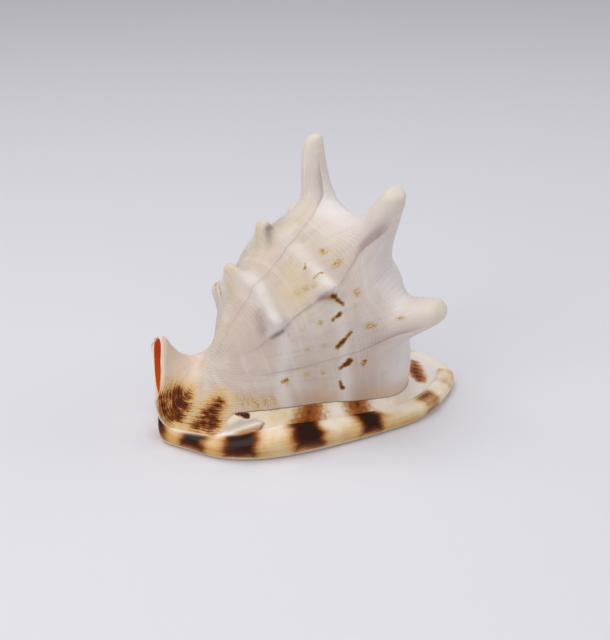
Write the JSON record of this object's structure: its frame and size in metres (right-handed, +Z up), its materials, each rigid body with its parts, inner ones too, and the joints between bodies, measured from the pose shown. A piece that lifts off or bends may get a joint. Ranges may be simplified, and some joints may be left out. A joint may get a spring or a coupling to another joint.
{
  "type": "horned helmet shell",
  "caption": "Large horned helmet sea shell, lying aperture down: humped whorl with blunt shoulder horns, knobbed ridges, broad rolled flange and an upturned canal.",
  "frame": {"origin": "centre of the bounding box at the table, under the flat rim", "axes": "+Z up from the table, +X towards the spire, -X towards the upturned canal, -Y the parietal shield side"},
  "size_m": [0.2022, 0.17, 0.1745],
  "materials": {
    "shell": "satin body with a glossy enamelled rim"
  },
  "bodies": {
    "root": {"shell": "shell"}
  },
  "joints": []
}
